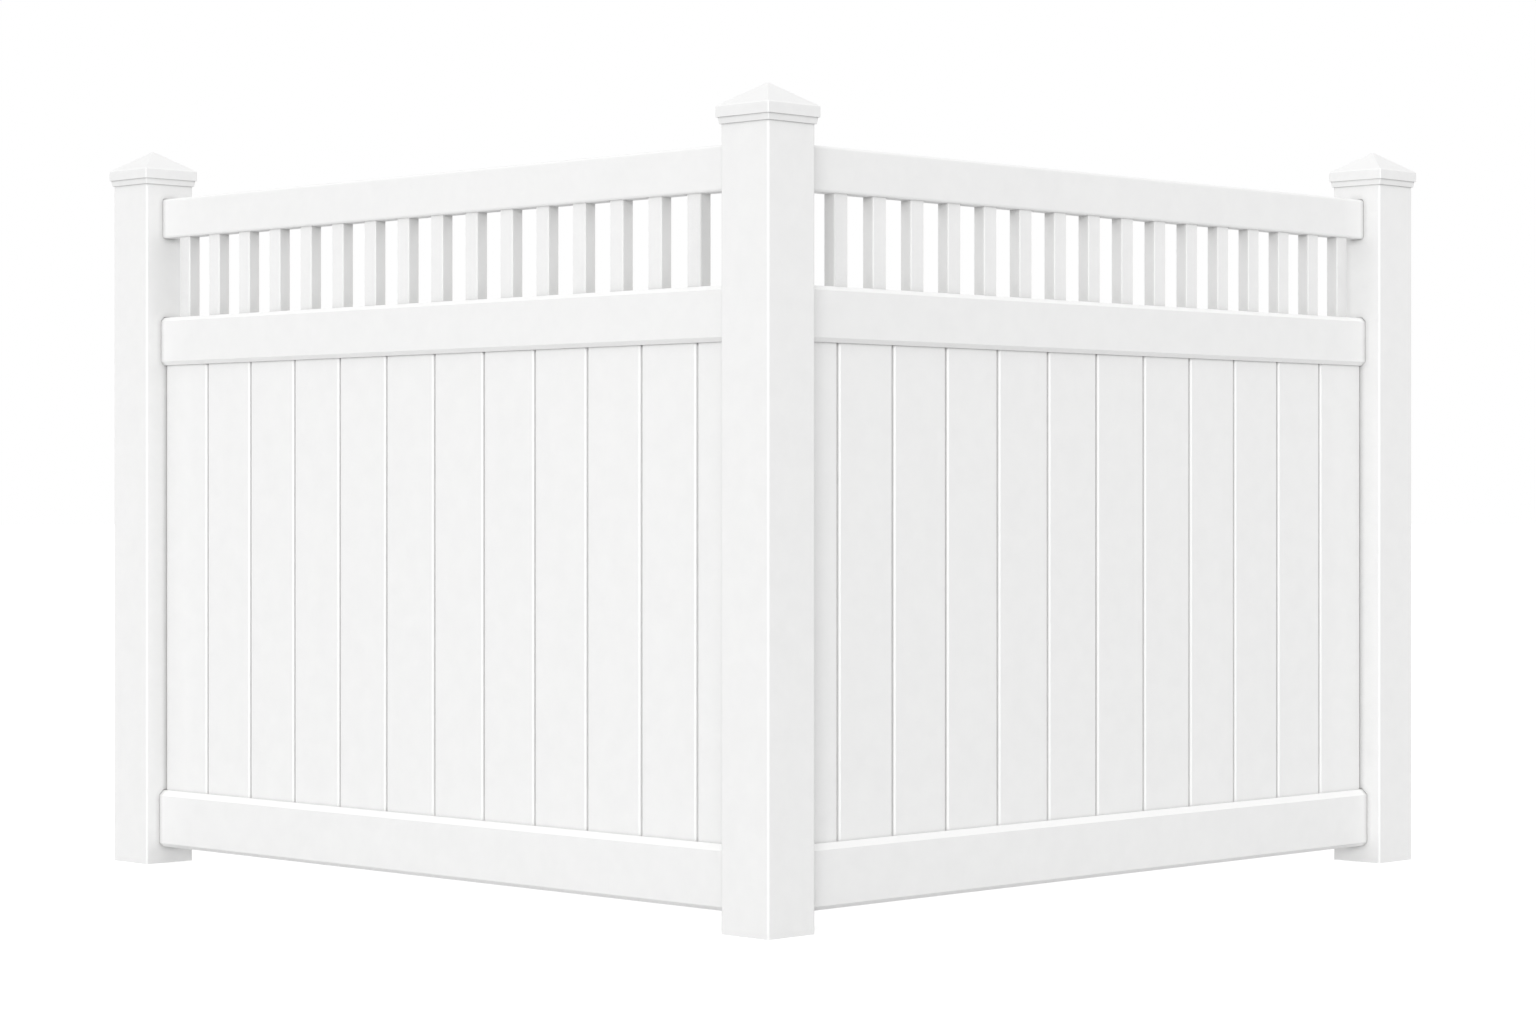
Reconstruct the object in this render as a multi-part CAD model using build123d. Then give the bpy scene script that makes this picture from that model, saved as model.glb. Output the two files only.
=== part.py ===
from build123d import *
import math
import os

# A corner of a hollow-section vinyl privacy fence: two equal bays on three posts.
# Sizes are in millimetres. The corner post stands on the Z axis with its foot at ground level, Z = 0.
# Every piece is drawn for the bay along +X, whose outer side faces -Y. The other bay is its mirror image
# across the upright plane that halves the corner, so it runs along +Y and its outer side faces -X.

# Clearance between pieces that fit together
fit_gap = 0.3

# Posts
post_width = 127.0
post_wall = 3.8
post_edge_radius = 4.8
post_spacing = 1968.5

# Rails, from the ground up
rail_wall = 2.4
rail_arris_radius = 1.2
rail_hole_gap = 0.9
rail_ends_apart = 3.15
ground_gap = 38.1
bottom_rail_height = 127.0
bottom_rail_depth = 57.2
bottom_rail_top_bevel = 12.0
bottom_rail_lower_bevel = 8.0
board_opening = 961.4
middle_rail_height = 107.95
middle_rail_depth = 47.6
middle_rail_bevel = 8.5
picket_opening = 179.4
top_rail_height = 88.9
top_rail_depth = 38.1
top_rail_edge_radius = 6.0

# Boards
board_count = 12
board_thickness = 22.2
board_wall = 1.6
corner_board_width = 114.0
board_reveal = 6.5
board_chamfer = 3.0
board_rib_count = 2
board_end_gap = 2.0
tongue_thickness = 8.0
tongue_engagement = 9.0
board_pocket_depth = 34.0
board_lift_room = 7.0

# Pickets
picket_count = 16
picket_width = 38.1
picket_thickness = 28.6
picket_wall = 1.6
picket_arris = 1.8
picket_insertion = 25.4
picket_corner_gap = 104.5
picket_end_gap = 56.5

# Post caps
cap_wall = 2.4
cap_edge_radius = 2.5
cap_collar_height = 12.7
cap_collar_flare = 2.0
cap_band_overhang = 7.5
cap_band_height = 21.2
cap_eave_radius = 4.0
cap_roof_slope = 33.0
cap_apex_width = 5.0
cap_seat_ledge = 6.5
cap_seat_below_eave = 3.9
collar_above_panel = 33.25

# Levels above the ground
board_opening_level = ground_gap + bottom_rail_height
middle_rail_level = board_opening_level + board_opening
picket_opening_level = middle_rail_level + middle_rail_height
top_rail_level = picket_opening_level + picket_opening
panel_top = top_rail_level + top_rail_height
collar_level = panel_top + collar_above_panel

# Distances along the bay
half_post = post_width / 2
clear_width = post_spacing - post_width
rail_start = bottom_rail_depth / 2 + rail_ends_apart
rail_length = post_spacing - 2 * rail_start

# Rail sections: local X runs across the rail, local Y is height above the rail's underside
slot_width = board_thickness + 2 * fit_gap


def bevelled_outline(depth, height, lower_bevel, top_bevel):
    side = depth / 2
    return make_face(
        Polyline(
            (lower_bevel - side, 0),
            (side - lower_bevel, 0),
            (side, lower_bevel),
            (side, height - top_bevel),
            (side - top_bevel, height),
            (top_bevel - side, height),
            (-side, height - top_bevel),
            (-side, lower_bevel),
            close=True,
        )
    )


def hollow(outline):
    sides = outline.vertices().group_by(Axis.X)
    rounded = fillet(sides[0] + sides[-1], rail_arris_radius)
    return rounded - offset(outline, amount=-rail_wall, kind=Kind.INTERSECTION)


def with_board_pocket(outline, mouth, inward):
    # Two legs hang from the lips of a slot and carry a floor at the pocket's depth
    depth = board_pocket_depth + rail_wall
    trough = Pos(0, mouth + inward * depth / 2) * Rectangle(slot_width + 2 * rail_wall, depth)
    room = Pos(0, mouth + inward * board_pocket_depth / 2) * Rectangle(slot_width, board_pocket_depth)
    return hollow(outline) + (trough & outline) - room


bottom_outline = bevelled_outline(
    bottom_rail_depth, bottom_rail_height, bottom_rail_lower_bevel, bottom_rail_top_bevel
)
bottom_section = with_board_pocket(bottom_outline, bottom_rail_height, -1)

middle_outline = bevelled_outline(middle_rail_depth, middle_rail_height, middle_rail_bevel, middle_rail_bevel)
picket_shelf = Pos(0, middle_rail_height - picket_insertion - rail_wall / 2) * Rectangle(
    middle_rail_depth - rail_wall, rail_wall
)
middle_section = with_board_pocket(middle_outline, 0, 1) + picket_shelf

top_outline = Pos(0, top_rail_height / 2) * RectangleRounded(
    top_rail_depth, top_rail_height, top_rail_edge_radius
)
top_section = top_outline - Pos(0, top_rail_height / 2) * Rectangle(
    top_rail_depth - 2 * rail_wall, top_rail_height - 2 * rail_wall
)

# Pickets: evenly spaced between a wide gap beside the corner post and a narrow one beside the end post
picket_run = clear_width - picket_corner_gap - picket_end_gap - picket_width
picket_pitch = picket_run / (picket_count - 1)
first_picket = half_post + picket_corner_gap + picket_width / 2
picket_positions = [first_picket + picket_pitch * i for i in range(picket_count)]
picket_outline = Rectangle(picket_width, picket_thickness)
picket_section = chamfer(picket_outline.vertices(), picket_arris) - Rectangle(
    picket_width - 2 * picket_wall, picket_thickness - 2 * picket_wall
)
picket_length = picket_opening + 2 * picket_insertion
picket_level = picket_opening_level - picket_insertion
pickets = [Pos(x, 0, picket_level) * extrude(picket_section, picket_length) for x in picket_positions]
picket_row = Compound(children=pickets)

# Rails: the pickets pass through holes in one wall of the middle and top rails


def rail(section, level):
    return extrude(Plane.YZ * Pos(0, level, rail_start) * section, rail_length)


def picket_holes(level):
    hole = Box(picket_width + 2 * fit_gap, picket_thickness + 2 * fit_gap, 3 * rail_wall)
    return [Pos(x, 0, level) * hole for x in picket_positions]


bottom_rail = rail(bottom_section, ground_gap)
middle_rail = rail(middle_section, middle_rail_level) - picket_holes(picket_opening_level)
top_rail = rail(top_section, top_rail_level) - picket_holes(top_rail_level)

# Boards: local X runs along the bay from the board's tongue shoulder, local Y across its thickness
first_board_edge = half_post + board_end_gap
last_board_edge = post_spacing - half_post - board_end_gap
board_cover = (last_board_edge - first_board_edge - corner_board_width) / (board_count - 1)
board_body = board_cover - board_reveal
tongue_length = board_reveal + tongue_engagement
groove_depth = tongue_engagement + fit_gap
face = board_thickness / 2
tongue_half = tongue_thickness / 2
groove_half = tongue_half + fit_gap
board_outline = make_face(
    Polyline(
        (board_chamfer, -face),
        (board_body - board_chamfer, -face),
        (board_body, board_chamfer - face),
        (board_body, -groove_half),
        (board_body - groove_depth, -groove_half),
        (board_body - groove_depth, groove_half),
        (board_body, groove_half),
        (board_body, face - board_chamfer),
        (board_body - board_chamfer, face),
        (board_chamfer, face),
        (0, face - board_chamfer),
        (0, tongue_half),
        (-tongue_length, tongue_half),
        (-tongue_length, -tongue_half),
        (0, -tongue_half),
        (0, board_chamfer - face),
        close=True,
    )
)
rib_pitch = (board_body - groove_depth) / (board_rib_count + 1)
ribs = [
    Pos(rib_pitch * (i + 1), 0) * Rectangle(board_wall, board_thickness - board_wall)
    for i in range(board_rib_count)
]
board_section = board_outline - offset(board_outline, amount=-board_wall, kind=Kind.INTERSECTION) + ribs
board_level = board_opening_level - board_pocket_depth
board_length = board_opening + 2 * board_pocket_depth - board_lift_room
ripped_section = Pos(first_board_edge + corner_board_width - board_body, 0) * board_section & (
    Pos(first_board_edge + corner_board_width / 2, 0) * Rectangle(corner_board_width, board_thickness)
)
boards = [Pos(0, 0, board_level) * extrude(ripped_section, board_length)]
for i in range(1, board_count):
    shoulder = last_board_edge - board_body - board_cover * (board_count - 1 - i)
    boards.append(Pos(shoulder, 0, board_level) * extrude(board_section, board_length))

# Caps: the same upright profile cut across both ways makes the mitred collar, band and roof
collar_foot = half_post + fit_gap + cap_wall
collar_head = collar_foot + cap_collar_flare
band = half_post + cap_band_overhang
apex = cap_apex_width / 2
slope = math.tan(math.radians(cap_roof_slope))
eave = cap_collar_height + cap_band_height
cap_height = eave + (band - apex) * slope


def cut_both_ways(profile):
    bar = extrude(Plane.XZ * profile, 2 * band, both=True)
    return bar & Rot(0, 0, 90) * bar


def corner_edges(solid):
    # The edges that run up the solid's four corners lie on its diagonals
    return [e for e in solid.edges() if abs(abs(e.center().X) - abs(e.center().Y)) < fit_gap / 100]


collar_profile = make_face(
    Polyline(
        (-collar_foot, 0),
        (collar_foot, 0),
        (collar_head, cap_collar_height),
        (-collar_head, cap_collar_height),
        close=True,
    )
)
roof_profile = make_face(
    Polyline(
        (-band, cap_collar_height),
        (band, cap_collar_height),
        (band, eave),
        (apex, cap_height),
        (-apex, cap_height),
        (-band, eave),
        close=True,
    )
)
roof_profile = fillet(roof_profile.vertices().group_by(Axis.Y)[1], cap_eave_radius)
collar = cut_both_ways(collar_profile)
collar = fillet(corner_edges(collar), cap_edge_radius)
roof = cut_both_ways(roof_profile)
roof = fillet(corner_edges(roof), cap_edge_radius)

# Inside a cap: a socket for the post, room behind the band, a ledge that sits on the post, a hollow roof
seat = eave - cap_seat_below_eave
socket = half_post + fit_gap
room = band - cap_wall
room_floor = cap_collar_height + cap_wall
hollow_foot = half_post - cap_seat_ledge
roof_drop = cap_wall / math.cos(math.radians(cap_roof_slope))
hollow_eave = eave + (band - hollow_foot) * slope - roof_drop
hollow_profile = make_face(
    Polyline(
        (-hollow_foot, seat),
        (hollow_foot, seat),
        (hollow_foot, hollow_eave),
        (apex, hollow_eave + (hollow_foot - apex) * slope),
        (-apex, hollow_eave + (hollow_foot - apex) * slope),
        (-hollow_foot, hollow_eave),
        close=True,
    )
)
socket_space = extrude(Rectangle(2 * socket, 2 * socket), seat)
band_space = Pos(0, 0, room_floor) * extrude(Rectangle(2 * room, 2 * room), seat - room_floor)
cap = collar + roof - socket_space - band_space - cut_both_ways(hollow_profile)
corner_cap = Pos(0, 0, collar_level) * cap
end_cap = Pos(post_spacing, 0, 0) * corner_cap

# Posts: square tubes that reach up to the ledge in the cap, with a hole for every rail end
post_height = collar_level + seat
post_section = RectangleRounded(post_width, post_width, post_edge_radius) - Rectangle(
    post_width - 2 * post_wall, post_width - 2 * post_wall
)
post_tube = extrude(post_section, post_height)


def rail_holes(wall):
    # Each hole stands off the rail all round, and its lower edge rises to carry the rail's underside
    holes = []
    for outline, level in (
        (bottom_outline, ground_gap),
        (middle_outline, middle_rail_level),
        (top_outline, top_rail_level),
    ):
        hole = offset(outline, amount=rail_hole_gap, kind=Kind.INTERSECTION)
        lift = level + rail_hole_gap - fit_gap
        holes.append(extrude(Plane.YZ * Pos(0, lift, wall - post_wall) * hole, 2 * post_wall))
    return holes


corner_line = Plane(origin=(0, 0, 0), x_dir=(0, 0, 1), z_dir=(1, -1, 0))
corner_holes = rail_holes(half_post - post_wall / 2)
corner_post = post_tube - corner_holes - [mirror(hole, about=corner_line) for hole in corner_holes]
end_post = Pos(post_spacing, 0, 0) * post_tube - rail_holes(post_spacing - half_post + post_wall / 2)

# One file for each named piece
pieces = {
    "corner_post": corner_post,
    "corner_post_cap": corner_cap,
    "right_end_post": end_post,
    "right_post_cap": end_cap,
    "right_bottom_rail": bottom_rail,
    "right_middle_rail": middle_rail,
    "right_top_rail": top_rail,
    "right_picket_row": picket_row,
    "left_end_post": mirror(end_post, about=corner_line),
    "left_post_cap": mirror(end_cap, about=corner_line),
    "left_bottom_rail": mirror(bottom_rail, about=corner_line),
    "left_middle_rail": mirror(middle_rail, about=corner_line),
    "left_top_rail": mirror(top_rail, about=corner_line),
    "left_picket_row": mirror(picket_row, about=corner_line),
}
for i, board in enumerate(boards, start=1):
    pieces[f"right_board_{i:02d}"] = board
    pieces[f"left_board_{i:02d}"] = mirror(board, about=corner_line)

os.makedirs("parts", exist_ok=True)
for name, piece in pieces.items():
    export_step(piece, f"parts/{name}.step")
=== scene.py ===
# %% [markdown]
# # A corner of white vinyl privacy fence
#
# Two bays of fence meet at a corner post. Every post, cap, rail, board and picket is a hollow vinyl section
# that is already modelled to size, with its rounded and bevelled edges. So this lesson dresses that model:
# it sets the camera, lights a pale studio, and builds the satin white finishes from shader nodes.
#
# The model is loaded as a fixed frame.

# %% Load the fence
import math

import bpy
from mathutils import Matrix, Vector

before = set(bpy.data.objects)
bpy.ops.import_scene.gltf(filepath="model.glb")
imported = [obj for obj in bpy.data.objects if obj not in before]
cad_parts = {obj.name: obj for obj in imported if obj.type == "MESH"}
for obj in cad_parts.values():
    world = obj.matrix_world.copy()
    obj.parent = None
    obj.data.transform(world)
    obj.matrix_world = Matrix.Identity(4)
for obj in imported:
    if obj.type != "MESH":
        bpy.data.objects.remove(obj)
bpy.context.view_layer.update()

# %% [markdown]
# ## The camera
#
# The fence was photographed from a distance, straight at the corner and with the camera held level, so all
# upright edges stay upright in the picture. A level camera with a small vertical shift keeps them so.
# Tilting the camera instead would make the posts lean together.

# %% Place the camera
PICTURE_WIDTH = 1536
FOCAL_PIXELS = 3589.0
HORIZON_ABOVE_MIDDLE = 16.5
SENSOR_WIDTH = 36.0
FARTHEST_SEEN = 200.0
CAMERA_PLACE = Vector((-4.843, -4.776, 0.832))
CAMERA_HEADING = 44.6

camera_data = bpy.data.cameras.new("level camera")
camera_data.sensor_width = SENSOR_WIDTH
camera_data.lens = SENSOR_WIDTH * FOCAL_PIXELS / PICTURE_WIDTH
camera_data.shift_y = -HORIZON_ABOVE_MIDDLE / PICTURE_WIDTH
camera_data.clip_end = FARTHEST_SEEN
camera = bpy.data.objects.new("level camera", camera_data)
camera.location = CAMERA_PLACE
camera.rotation_euler = (math.radians(90), 0, math.radians(CAMERA_HEADING - 90))
bpy.context.scene.collection.objects.link(camera)
bpy.context.scene.camera = camera
print("lens:", round(camera_data.lens, 1), "mm")

# %% [markdown]
# ## The surround
#
# White vinyl shows its form through very small differences of tone, so the light has to be broad and soft.
# A pale surround lights the fence from every side, a little more from the front than from behind. The
# camera itself sees the surround as plain white, so the picture has a clean background. A photograph of a
# sky could do this too, but a plain surround keeps the tones of the vinyl easy to judge. For the same
# reason the view transform is the standard one, which leaves white white.

# %% Make the surround
WHITE = (1, 1, 1, 1)
SURROUND_SEEN = 1.0
SURROUND_FRONT = 0.95
SURROUND_BACK = 0.56
FRONT_WAY = Vector((-0.62, -0.52, 0.6)).normalized()


def add(tree, kind, **settings):
    node = tree.nodes.new(kind)
    for setting, value in settings.items():
        setattr(node, setting, value)
    return node


bpy.context.scene.view_settings.view_transform = "Standard"
surround = bpy.data.worlds.new("pale surround")
surround.use_nodes = True
bpy.context.scene.world = surround
sky = surround.node_tree
sky.nodes.clear()
sky_way = add(sky, "ShaderNodeTexCoord")
sky_turn = add(sky, "ShaderNodeVectorMath", operation="DOT_PRODUCT")
sky_level = add(sky, "ShaderNodeMapRange")
sky_path = add(sky, "ShaderNodeLightPath")
sky_lit = add(sky, "ShaderNodeBackground")
sky_seen = add(sky, "ShaderNodeBackground")
sky_mix = add(sky, "ShaderNodeMixShader")
sky_out = add(sky, "ShaderNodeOutputWorld")
sky_turn.inputs[1].default_value = FRONT_WAY
sky_level.inputs["From Min"].default_value = -1.0
sky_level.inputs["To Min"].default_value = SURROUND_BACK
sky_level.inputs["To Max"].default_value = SURROUND_FRONT
sky_lit.inputs["Color"].default_value = WHITE
sky_seen.inputs["Color"].default_value = WHITE
sky_seen.inputs["Strength"].default_value = SURROUND_SEEN
sky.links.new(sky_way.outputs["Generated"], sky_turn.inputs[0])
sky.links.new(sky_turn.outputs["Value"], sky_level.inputs["Value"])
sky.links.new(sky_level.outputs["Result"], sky_lit.inputs["Strength"])
sky.links.new(sky_path.outputs["Is Camera Ray"], sky_mix.inputs["Fac"])
sky.links.new(sky_lit.outputs["Background"], sky_mix.inputs[1])
sky.links.new(sky_seen.outputs["Background"], sky_mix.inputs[2])
sky.links.new(sky_mix.outputs["Shader"], sky_out.inputs["Surface"])
print("surround:", SURROUND_BACK, "to", SURROUND_FRONT)

# %% [markdown]
# ## The key light
#
# One broad light comes from far away at the front left, a little above. It makes the left-hand bay brighter
# than the right-hand one, lights the rounded front edges of the posts most of all, and puts a soft shadow
# under every rail and beside every post. A sun lamp is used, because its light falls alike on both ends of
# the fence. Its angle is set wide, so that its shadows are as soft as those of a large studio panel.

# %% Hang the key light
KEY_WAY = Vector((-0.785, -0.585, 0.19)).normalized()
KEY_STRENGTH = 1.16
KEY_ANGLE = math.radians(26)


def hang_light(name, way, strength, angle):
    lamp = bpy.data.lights.new(name, "SUN")
    lamp.energy = strength
    lamp.angle = angle
    light = bpy.data.objects.new(name, lamp)
    light.rotation_euler = (-way).to_track_quat("-Z", "Y").to_euler()
    bpy.context.scene.collection.objects.link(light)
    print(name, "from:", [round(part, 2) for part in way])
    return light


hang_light("key light", KEY_WAY, KEY_STRENGTH, KEY_ANGLE)

# %% [markdown]
# ## The fill light
#
# Seen from behind, the fence would have only the surround, and one even grey hides its form. A weaker light
# comes from low behind the right-hand bay. It reaches only the inner sides, so the front keeps its tones,
# and it is broader still than the key light, so it adds no hard shadow of its own. It is hidden from
# reflections, because the sloping caps would mirror it towards the camera.

# %% Hang the fill light
FILL_WAY = Vector((0.56, 0.8, 0.2)).normalized()
FILL_STRENGTH = 0.66
FILL_ANGLE = math.radians(40)
fill = hang_light("fill light", FILL_WAY, FILL_STRENGTH, FILL_ANGLE)
fill.visible_glossy = False

# %% [markdown]
# ## The floor
#
# The floor is a plain pale sheet that runs far enough back to meet the surround without a visible edge. To
# the camera it is nearly white, because it glows a little for the camera alone. To the fence it is duller
# than that, so the undersides of the rails stay darker than their faces, as they are over paving.

# %% Lay the floor
FLOOR_REACH = 80.0
FLOOR_PAINT = (0.62, 0.62, 0.62, 1)
FLOOR_LIFT = 0.62

floor_mesh = bpy.data.meshes.new("studio floor")
floor_corners = [(x * FLOOR_REACH, y * FLOOR_REACH, 0) for x, y in ((-1, -1), (1, -1), (1, 1), (-1, 1))]
floor_mesh.from_pydata(floor_corners, [], [(0, 1, 2, 3)])
floor = bpy.data.objects.new("studio_floor", floor_mesh)
bpy.context.scene.collection.objects.link(floor)

floor_paint = bpy.data.materials.new("pale floor")
floor_paint.use_nodes = True
paint = floor_paint.node_tree
paint.nodes.clear()
paint_path = add(paint, "ShaderNodeLightPath")
paint_level = add(paint, "ShaderNodeMapRange")
paint_glow = add(paint, "ShaderNodeEmission")
paint_matte = add(paint, "ShaderNodeBsdfDiffuse")
paint_sum = add(paint, "ShaderNodeAddShader")
paint_out = add(paint, "ShaderNodeOutputMaterial")
paint_matte.inputs["Color"].default_value = FLOOR_PAINT
paint_level.inputs["To Max"].default_value = FLOOR_LIFT
paint.links.new(paint_path.outputs["Is Camera Ray"], paint_level.inputs["Value"])
paint.links.new(paint_level.outputs["Result"], paint_glow.inputs["Strength"])
paint.links.new(paint_matte.outputs["BSDF"], paint_sum.inputs[0])
paint.links.new(paint_glow.outputs["Emission"], paint_sum.inputs[1])
paint.links.new(paint_sum.outputs["Shader"], paint_out.inputs["Surface"])
floor_mesh.materials.append(floor_paint)
print("floor:", 2 * FLOOR_REACH, "m across")

# %% [markdown]
# ## A helper for shared effects
#
# Every finish on the fence is the same vinyl with small differences, so each effect is built once, as a
# node group with named inputs, and placed in each material with its own values. This helper makes an empty
# group with its sockets.

# %% Make node groups
NUMBER = "NodeSocketFloat"
COLOUR = "NodeSocketColor"
VECTOR = "NodeSocketVector"


def new_group(name, inputs, outputs):
    group = bpy.data.node_groups.new(name, "ShaderNodeTree")
    for socket, kind, value in inputs:
        made = group.interface.new_socket(socket, in_out="INPUT", socket_type=kind)
        made.default_value = value
    for socket, kind in outputs:
        group.interface.new_socket(socket, in_out="OUTPUT", socket_type=kind)
    print("group:", name, "inputs:", len(inputs), "outputs:", len(outputs))
    return group, add(group, "NodeGroupInput"), add(group, "NodeGroupOutput")


# %% [markdown]
# ## A skin for vinyl
#
# Vinyl sections leave the extruder with an even white pigment, but the surface is never quite one tone.
# Under raking light it shows a cloudy mottle a few centimetres across, and a fine dull grain. Both are
# noise, read from the piece's own coordinates in metres, so the grain keeps its real size on every piece.
#
# The gloss follows the mottle, but it stays satin. Below a roughness of about 0.3, the filter that cleans
# the render takes a surface for a mirror, and a mottle that crosses that value shows as crumpled patches.

# %% Build the skin group
MOTTLE_DETAIL = 3.0
MOTTLE_ROUGHNESS = 0.62
GRAIN_DETAIL = 1.0
GRAIN_SHARE = 0.35
DULL_BELOW = 0.45
BRIGHT_ABOVE = 0.9
SMOOTH_BELOW = 0.3
ROUGH_ABOVE = 0.7

skin, skin_in, skin_out = new_group(
    "vinyl skin",
    [("Bright", COLOUR, (0.91, 0.91, 0.905, 1)), ("Dull", COLOUR, (0.88, 0.88, 0.878, 1)),
     ("Mottle Scale", NUMBER, 22.0), ("Grain Scale", NUMBER, 420.0),
     ("Smooth", NUMBER, 0.37), ("Rough", NUMBER, 0.48)],
    [("Colour", COLOUR), ("Roughness", NUMBER), ("Grain", NUMBER)],
)
place = add(skin, "ShaderNodeTexCoord")
mottle = add(skin, "ShaderNodeTexNoise")
mottle.inputs["Detail"].default_value = MOTTLE_DETAIL
mottle.inputs["Roughness"].default_value = MOTTLE_ROUGHNESS
grain = add(skin, "ShaderNodeTexNoise")
grain.inputs["Detail"].default_value = GRAIN_DETAIL
blend = add(skin, "ShaderNodeMath", operation="MULTIPLY_ADD")
blend.inputs[1].default_value = GRAIN_SHARE
contrast = add(skin, "ShaderNodeMapRange")
contrast.inputs["From Min"].default_value = DULL_BELOW
contrast.inputs["From Max"].default_value = BRIGHT_ABOVE
tone = add(skin, "ShaderNodeMix", data_type="RGBA")
gloss = add(skin, "ShaderNodeMapRange")
gloss.inputs["From Min"].default_value = SMOOTH_BELOW
gloss.inputs["From Max"].default_value = ROUGH_ABOVE
skin.links.new(place.outputs["Object"], mottle.inputs["Vector"])
skin.links.new(place.outputs["Object"], grain.inputs["Vector"])
skin.links.new(skin_in.outputs["Mottle Scale"], mottle.inputs["Scale"])
skin.links.new(skin_in.outputs["Grain Scale"], grain.inputs["Scale"])
skin.links.new(grain.outputs["Fac"], blend.inputs[0])
skin.links.new(mottle.outputs["Fac"], blend.inputs[2])
skin.links.new(blend.outputs["Value"], contrast.inputs["Value"])
skin.links.new(contrast.outputs["Result"], tone.inputs["Factor"])
skin.links.new(skin_in.outputs["Dull"], tone.inputs["A"])
skin.links.new(skin_in.outputs["Bright"], tone.inputs["B"])
skin.links.new(mottle.outputs["Fac"], gloss.inputs["Value"])
skin.links.new(skin_in.outputs["Smooth"], gloss.inputs["To Min"])
skin.links.new(skin_in.outputs["Rough"], gloss.inputs["To Max"])
skin.links.new(tone.outputs["Result"], skin_out.inputs["Colour"])
skin.links.new(gloss.outputs["Result"], skin_out.inputs["Roughness"])
skin.links.new(grain.outputs["Fac"], skin_out.inputs["Grain"])
print("nodes:", len(skin.nodes))

# %% [markdown]
# ## Draw lines along an extrusion
#
# The die leaves faint lines along the length of every extruded section, and the thin walls set with a slight
# wave. Both are noise that is stretched along the piece: the coordinates are squeezed hard in that
# direction, so a dot becomes a long streak. A wave texture would do it too, but its lines are evenly spaced,
# and real draw lines are not.

# %% Build the draw-line group
LINE_DETAIL = 2.0
WAVE_DETAIL = 0.0

lines, lines_in, lines_out = new_group(
    "draw lines",
    [("Squeeze", VECTOR, (1, 1, 0.01)), ("Line Scale", NUMBER, 350.0), ("Wave Scale", NUMBER, 9.0)],
    [("Lines", NUMBER), ("Wave", NUMBER)],
)
spot = add(lines, "ShaderNodeTexCoord")
squeeze = add(lines, "ShaderNodeVectorMath", operation="MULTIPLY")
streak = add(lines, "ShaderNodeTexNoise")
streak.inputs["Detail"].default_value = LINE_DETAIL
wave = add(lines, "ShaderNodeTexNoise")
wave.inputs["Detail"].default_value = WAVE_DETAIL
lines.links.new(spot.outputs["Object"], squeeze.inputs[0])
lines.links.new(lines_in.outputs["Squeeze"], squeeze.inputs[1])
lines.links.new(squeeze.outputs["Vector"], streak.inputs["Vector"])
lines.links.new(squeeze.outputs["Vector"], wave.inputs["Vector"])
lines.links.new(lines_in.outputs["Line Scale"], streak.inputs["Scale"])
lines.links.new(lines_in.outputs["Wave Scale"], wave.inputs["Scale"])
lines.links.new(streak.outputs["Fac"], lines_out.inputs["Lines"])
lines.links.new(wave.outputs["Fac"], lines_out.inputs["Wave"])
print("nodes:", len(lines.nodes))

# %% [markdown]
# ## Painted edge highlights
#
# The flat faces of a section keep the dull grain of the die, but its rounded corners, bevels and chamfers
# are painted a lighter white, a painted highlight that stands in for the thin bright line of light down the
# edge of a post, and they are made a little glossier too. Nearly every flat face here is square to an axis,
# so a mask can be read from the surface's own direction: the largest part of that direction is 1 on a flat
# face, and drops towards 0.7 on a corner.

# %% Build the painted edge highlight group
FLAT_FACING = 0.95
CORNER_FACING = 0.74
EDGE_GLOSS = -0.05

# Painted highlight: rounded corners, bevels and chamfers get a lighter colour than the flat faces.
edge_highlight, edge_highlight_in, edge_highlight_out = new_group(
    "painted edge highlight",
    [("Colour", COLOUR, (0.9, 0.9, 0.9, 1)), ("Highlight", COLOUR, (0.965, 0.965, 0.962, 1)),
     ("Roughness", NUMBER, 0.4)],
    [("Colour", COLOUR), ("Roughness", NUMBER)],
)
facing = add(edge_highlight, "ShaderNodeTexCoord")
facing_size = add(edge_highlight, "ShaderNodeVectorMath", operation="ABSOLUTE")
facing_parts = add(edge_highlight, "ShaderNodeSeparateXYZ")
larger = add(edge_highlight, "ShaderNodeMath", operation="MAXIMUM")
largest = add(edge_highlight, "ShaderNodeMath", operation="MAXIMUM")
off_axis = add(edge_highlight, "ShaderNodeMapRange")
off_axis.inputs["From Min"].default_value = FLAT_FACING
off_axis.inputs["From Max"].default_value = CORNER_FACING
highlight_colour = add(edge_highlight, "ShaderNodeMix", data_type="RGBA")
highlight_gloss = add(edge_highlight, "ShaderNodeMath", operation="MULTIPLY_ADD")
highlight_gloss.inputs[1].default_value = EDGE_GLOSS
edge_highlight.links.new(facing.outputs["Normal"], facing_size.inputs[0])
edge_highlight.links.new(facing_size.outputs["Vector"], facing_parts.inputs["Vector"])
edge_highlight.links.new(facing_parts.outputs["X"], larger.inputs[0])
edge_highlight.links.new(facing_parts.outputs["Y"], larger.inputs[1])
edge_highlight.links.new(larger.outputs["Value"], largest.inputs[0])
edge_highlight.links.new(facing_parts.outputs["Z"], largest.inputs[1])
edge_highlight.links.new(largest.outputs["Value"], off_axis.inputs["Value"])
edge_highlight.links.new(off_axis.outputs["Result"], highlight_colour.inputs["Factor"])
edge_highlight.links.new(edge_highlight_in.outputs["Colour"], highlight_colour.inputs["A"])
edge_highlight.links.new(edge_highlight_in.outputs["Highlight"], highlight_colour.inputs["B"])
edge_highlight.links.new(off_axis.outputs["Result"], highlight_gloss.inputs[0])
edge_highlight.links.new(edge_highlight_in.outputs["Roughness"], highlight_gloss.inputs[2])
edge_highlight.links.new(highlight_colour.outputs["Result"], edge_highlight_out.inputs["Colour"])
edge_highlight.links.new(highlight_gloss.outputs["Value"], edge_highlight_out.inputs["Roughness"])
print("nodes:", len(edge_highlight.nodes))
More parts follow.
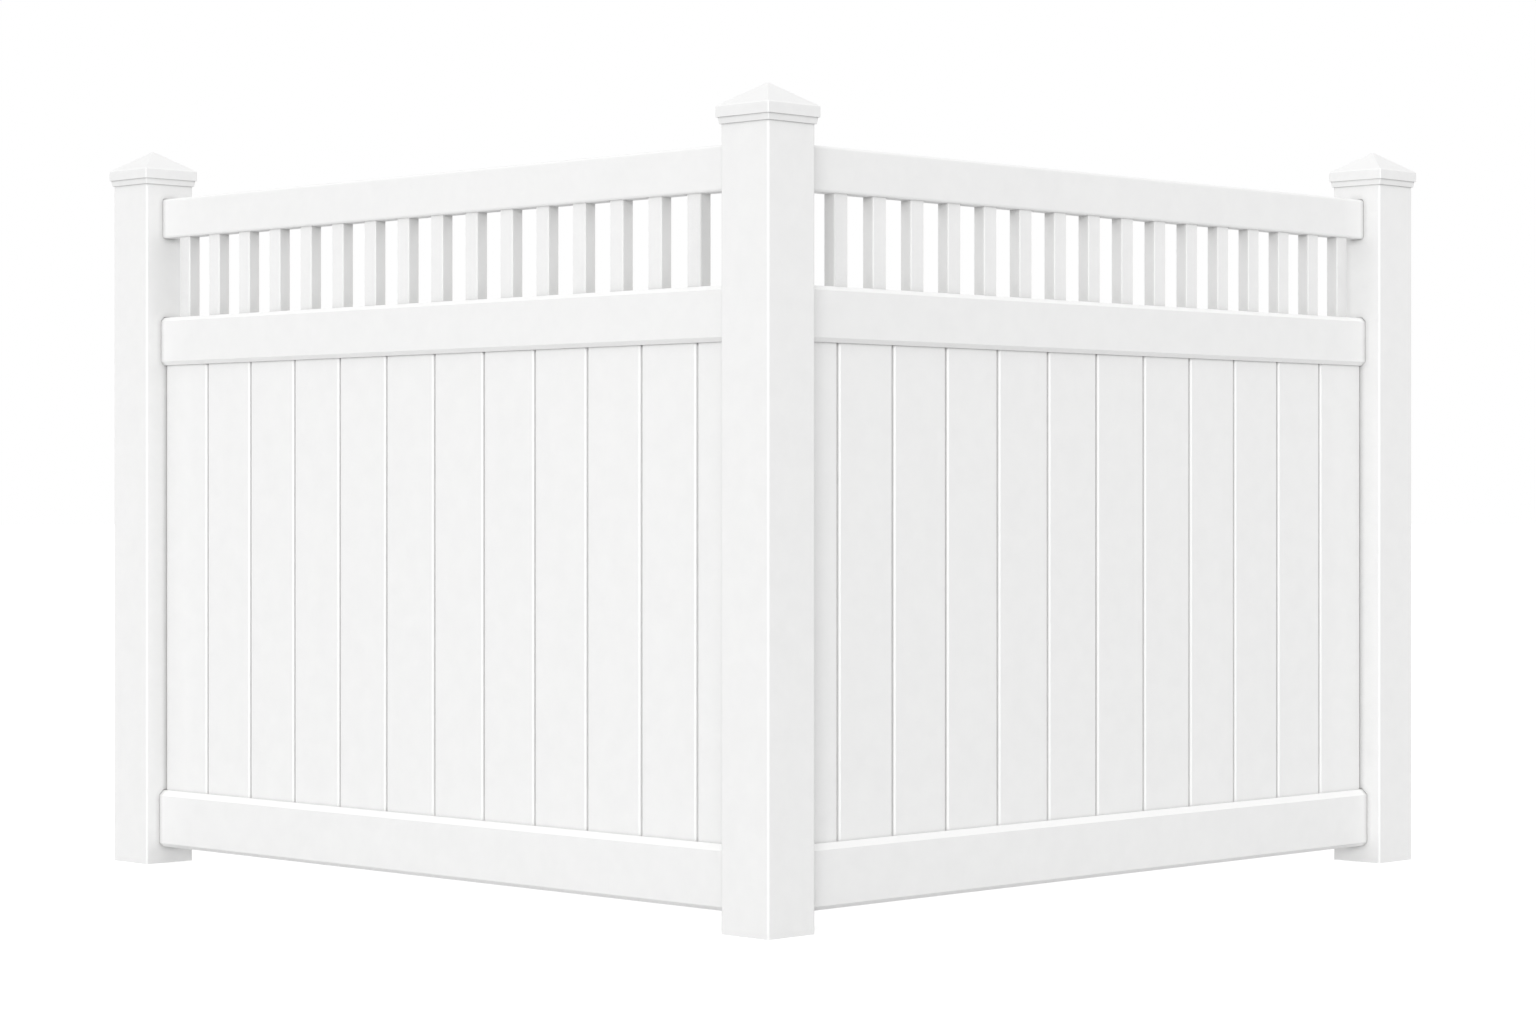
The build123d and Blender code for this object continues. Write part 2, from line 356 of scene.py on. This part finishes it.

# %% [markdown]
# ## Painted shade in the corners
#
# This group paints shade into the colour: it darkens the vinyl where light is shut out, in the joints
# between boards, under the rails, beside the posts and between the pickets. A measure of how open each spot
# is to its surroundings tells where that is. The group turns that measure into a slightly uneven painted
# shade, greyer and a little rougher than the open vinyl. The painted shade fades out towards the ground, so
# that the floor doesn't darken the foot of a post.

# %% Build the painted shade group
PATCH_SCALE = 60.0
PATCH_DETAIL = 2.0
PATCH_UNEVEN = 0.12
UNSHADED_OPENNESS = 1.02
SHADE_ROUGHENS = 0.25

# Painted shade: the colour darkens towards a grey tone where a spot is closed in.
painted_shade, painted_shade_in, painted_shade_out = new_group(
    "painted corner shade",
    [("Unshaded", COLOUR, (0.9, 0.9, 0.9, 1)), ("Painted Shade", COLOUR, (0.7, 0.7, 0.7, 1)),
     ("Unshaded Roughness", NUMBER, 0.4), ("Openness", NUMBER, 1.0), ("Most Painted Shade", NUMBER, 0.5),
     ("Shade Fade Height", NUMBER, 0.1), ("Full Openness", NUMBER, 0.45)],
    [("Colour", COLOUR), ("Roughness", NUMBER)],
)
shade_place = add(painted_shade, "ShaderNodeTexCoord")
shade_patch = add(painted_shade, "ShaderNodeTexNoise")
shade_patch.inputs["Scale"].default_value = PATCH_SCALE
shade_patch.inputs["Detail"].default_value = PATCH_DETAIL
shade_uneven = add(painted_shade, "ShaderNodeMath", operation="MULTIPLY_ADD")
shade_uneven.inputs[1].default_value = PATCH_UNEVEN
shade_height = add(painted_shade, "ShaderNodeSeparateXYZ")
shade_fade = add(painted_shade, "ShaderNodeMapRange")
shade_amount = add(painted_shade, "ShaderNodeMapRange")
shade_amount.inputs["From Min"].default_value = UNSHADED_OPENNESS
shade_colour = add(painted_shade, "ShaderNodeMix", data_type="RGBA")
shade_rough = add(painted_shade, "ShaderNodeMath", operation="MULTIPLY_ADD")
shade_rough.inputs[1].default_value = SHADE_ROUGHENS
painted_shade.links.new(shade_place.outputs["Object"], shade_patch.inputs["Vector"])
painted_shade.links.new(shade_patch.outputs["Fac"], shade_uneven.inputs[0])
painted_shade.links.new(painted_shade_in.outputs["Openness"], shade_uneven.inputs[2])
painted_shade.links.new(shade_place.outputs["Object"], shade_height.inputs["Vector"])
painted_shade.links.new(shade_height.outputs["Z"], shade_fade.inputs["Value"])
painted_shade.links.new(painted_shade_in.outputs["Shade Fade Height"], shade_fade.inputs["From Max"])
painted_shade.links.new(painted_shade_in.outputs["Most Painted Shade"], shade_fade.inputs["To Max"])
painted_shade.links.new(shade_uneven.outputs["Value"], shade_amount.inputs["Value"])
painted_shade.links.new(painted_shade_in.outputs["Full Openness"], shade_amount.inputs["From Max"])
painted_shade.links.new(shade_fade.outputs["Result"], shade_amount.inputs["To Max"])
# Mix towards the painted shade tone by how closed in the spot is.
painted_shade.links.new(shade_amount.outputs["Result"], shade_colour.inputs["Factor"])
painted_shade.links.new(painted_shade_in.outputs["Unshaded"], shade_colour.inputs["A"])
painted_shade.links.new(painted_shade_in.outputs["Painted Shade"], shade_colour.inputs["B"])
painted_shade.links.new(shade_amount.outputs["Result"], shade_rough.inputs[0])
painted_shade.links.new(painted_shade_in.outputs["Unshaded Roughness"], shade_rough.inputs[2])
painted_shade.links.new(shade_colour.outputs["Result"], painted_shade_out.inputs["Colour"])
painted_shade.links.new(shade_rough.outputs["Value"], painted_shade_out.inputs["Roughness"])
print("nodes:", len(painted_shade.nodes))

# %% [markdown]
# ## From the groups to a finish
#
# Each finish is one material. The skin gives its tone and its gloss, the edge highlight group paints a
# highlight on the edges, and layers of painted shade go over both, one on the other. A layer has a reach,
# which is how far around a spot something counts as closing it in. A short reach paints a thin dark line of
# shade in a joint, and a long one a soft painted shade. The other values of a layer go to the painted shade
# group's inputs of the same name. The measure of openness is the ambient occlusion node, and it stays in the
# material, outside the groups.

# %% Start a finish
VINYL_IOR = 1.53
SHADE_SAMPLES = 4
# Grey tone of the painted shade.
PAINTED_SHADE_TONE = (0.5, 0.5, 0.495, 1)


def shade_layer(reach, most, fade_below, full):
    return {"Reach": reach, "Most Painted Shade": most, "Shade Fade Height": fade_below, "Full Openness": full}


def start_finish(name, layers):
    finish = bpy.data.materials.new(name)
    finish.use_nodes = True
    tree = finish.node_tree
    shader = tree.nodes["Principled BSDF"]
    shader.inputs["IOR"].default_value = VINYL_IOR
    dressed = add(tree, "ShaderNodeGroup", node_tree=skin)
    # The skin colour gets the painted edge highlight.
    highlighted = add(tree, "ShaderNodeGroup", node_tree=edge_highlight)
    tree.links.new(dressed.outputs["Colour"], highlighted.inputs["Colour"])
    tree.links.new(dressed.outputs["Roughness"], highlighted.inputs["Roughness"])
    top = highlighted
    for layer in layers:
        # Each layer paints shade into the colour where the ambient occlusion value is low.
        open_to = add(tree, "ShaderNodeAmbientOcclusion", samples=SHADE_SAMPLES)
        open_to.inputs["Distance"].default_value = layer["Reach"]
        shaded = add(tree, "ShaderNodeGroup", node_tree=painted_shade)
        shaded.inputs["Painted Shade"].default_value = PAINTED_SHADE_TONE
        for socket in ("Most Painted Shade", "Shade Fade Height", "Full Openness"):
            shaded.inputs[socket].default_value = layer[socket]
        tree.links.new(top.outputs["Colour"], shaded.inputs["Unshaded"])
        tree.links.new(top.outputs["Roughness"], shaded.inputs["Unshaded Roughness"])
        tree.links.new(open_to.outputs["AO"], shaded.inputs["Openness"])
        top = shaded
    tree.links.new(top.outputs["Colour"], shader.inputs["Base Color"])
    tree.links.new(top.outputs["Roughness"], shader.inputs["Roughness"])
    bump = add(tree, "ShaderNodeBump")
    bump.inputs["Distance"].default_value = 1.0
    tree.links.new(bump.outputs["Normal"], shader.inputs["Normal"])
    print("finish:", name, "painted shade layers:", len(layers))
    return finish, dressed, bump


# %% [markdown]
# ## Relief
#
# Grain, draw lines and the slight wave of a thin wall add up to one height, and a bump node turns that into
# shading. With the bump's distance at 1, a height is in metres, so the values are real ones: the wave comes
# to about a tenth of a millimetre, and the lines and the grain to a few thousandths.

# %% Make a finish for extruded pieces
GRAIN_HEIGHT = 0.00002
LINE_HEIGHT = 0.00002
WAVE_HEIGHT = 0.0003


def add_height(tree, sum_so_far, source, height):
    step = add(tree, "ShaderNodeMath", operation="MULTIPLY_ADD")
    step.inputs[1].default_value = height
    tree.links.new(source, step.inputs[0])
    if sum_so_far is None:
        step.inputs[2].default_value = 0.0
    else:
        tree.links.new(sum_so_far, step.inputs[2])
    return step.outputs["Value"]


def extruded_finish(name, squeeze_along, bright, dull, layers):
    finish, dressed, bump = start_finish(name, layers)
    tree = finish.node_tree
    dressed.inputs["Bright"].default_value = bright
    dressed.inputs["Dull"].default_value = dull
    drawn = add(tree, "ShaderNodeGroup", node_tree=lines)
    drawn.inputs["Squeeze"].default_value = squeeze_along
    height = add_height(tree, None, dressed.outputs["Grain"], GRAIN_HEIGHT)
    height = add_height(tree, height, drawn.outputs["Lines"], LINE_HEIGHT)
    height = add_height(tree, height, drawn.outputs["Wave"], WAVE_HEIGHT)
    tree.links.new(height, bump.inputs["Height"])
    return finish


# %% [markdown]
# ## Posts, rails, boards and pickets
#
# These pieces differ in small ways. Posts and rails get a painted shade right at their joints, and a post
# has a soft painted shade beside the boards too. The boards have a fine painted line of shade in every
# joint.
# The pickets stand close together, so the painted shade on their sides comes from a long reach. Upright
# pieces have upright draw lines, and the rails of each bay need a finish of their own, because their lines
# run along the bay.

# %% Make the extruded finishes
ALONG_X = (0.01, 1, 1)
ALONG_Y = (1, 0.01, 1)
ALONG_Z = (1, 1, 0.01)
POST_WHITE = (0.915, 0.915, 0.912, 1)
POST_DULL = (0.89, 0.89, 0.888, 1)
BOARD_WHITE = (0.92, 0.92, 0.917, 1)
BOARD_DULL = (0.895, 0.895, 0.893, 1)
PICKET_DULL = (0.885, 0.885, 0.883, 1)
# Layers of painted shade: how far they reach, how dark they get, and the height over which they fade in from
# the ground.
CONTACT_SHADE = shade_layer(reach=0.014, most=0.64, fade_below=0.03, full=0.45)
CORNER_SHADE = shade_layer(reach=0.08, most=0.3, fade_below=0.25, full=0.45)
JOINT_SHADE = shade_layer(reach=0.006, most=0.4, fade_below=0.03, full=0.55)
PICKET_SHADE = shade_layer(reach=0.2, most=0.6, fade_below=0.03, full=0.88)

post_finish = extruded_finish("post vinyl", ALONG_Z, POST_WHITE, POST_DULL, [CONTACT_SHADE, CORNER_SHADE])
board_finish = extruded_finish("board vinyl", ALONG_Z, BOARD_WHITE, BOARD_DULL, [JOINT_SHADE, CORNER_SHADE])
picket_finish = extruded_finish("picket vinyl", ALONG_Z, POST_WHITE, PICKET_DULL, [PICKET_SHADE])
right_rail_finish = extruded_finish("right rail vinyl", ALONG_X, POST_WHITE, POST_DULL, [CONTACT_SHADE])
left_rail_finish = extruded_finish("left rail vinyl", ALONG_Y, POST_WHITE, POST_DULL, [CONTACT_SHADE])

# %% [markdown]
# ## Moulded caps
#
# The caps are moulded, not extruded, so they have no draw lines. Their skin is a little glossier and finer
# in grain, and a low swirl stays in the surface where the vinyl flowed out from the middle of the mould. A
# layer of painted shade with a very short reach draws the two thin dark lines under the band and under the
# collar.

# %% Make the cap finish
CAP_SKIN = {
    "Bright": (0.9, 0.9, 0.897, 1), "Dull": (0.87, 0.87, 0.868, 1),
    "Mottle Scale": 40.0, "Grain Scale": 700.0, "Smooth": 0.36, "Rough": 0.44,
}
# Painted shade in the creases under the band and the collar.
CAP_SHADE = shade_layer(reach=0.005, most=0.75, fade_below=0.03, full=0.55)
CAP_GRAIN_HEIGHT = 0.000003
SWIRL_SCALE = 30.0
SWIRL_TWIST = 0.3
SWIRL_HEIGHT = 0.00006

cap_finish, cap_skin, cap_bump = start_finish("cap vinyl", [CAP_SHADE])
for socket, value in CAP_SKIN.items():
    cap_skin.inputs[socket].default_value = value
cap_tree = cap_finish.node_tree
cap_place = add(cap_tree, "ShaderNodeTexCoord")
swirl = add(cap_tree, "ShaderNodeTexNoise")
swirl.inputs["Scale"].default_value = SWIRL_SCALE
swirl.inputs["Distortion"].default_value = SWIRL_TWIST
cap_tree.links.new(cap_place.outputs["Object"], swirl.inputs["Vector"])
cap_height = add_height(cap_tree, None, cap_skin.outputs["Grain"], CAP_GRAIN_HEIGHT)
cap_height = add_height(cap_tree, cap_height, swirl.outputs["Fac"], SWIRL_HEIGHT)
cap_tree.links.new(cap_height, cap_bump.inputs["Height"])
print("swirl:", SWIRL_HEIGHT * 1000, "mm at most")

# %% [markdown]
# ## Every piece gets its finish
#
# The names of the pieces say what they are, so the finish follows from the name. A list of 38 names with
# their finishes would do the same, but it would have to change with every board that is added.

# %% Dress the pieces
def finish_for(name):
    if name.endswith("cap"):
        return cap_finish
    if name.endswith("post"):
        return post_finish
    if name.endswith("rail"):
        return left_rail_finish if name.startswith("left") else right_rail_finish
    return picket_finish if name.endswith("row") else board_finish


for name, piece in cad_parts.items():
    piece.data.materials.clear()
    piece.data.materials.append(finish_for(name))
print("dressed:", len(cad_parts), "pieces")
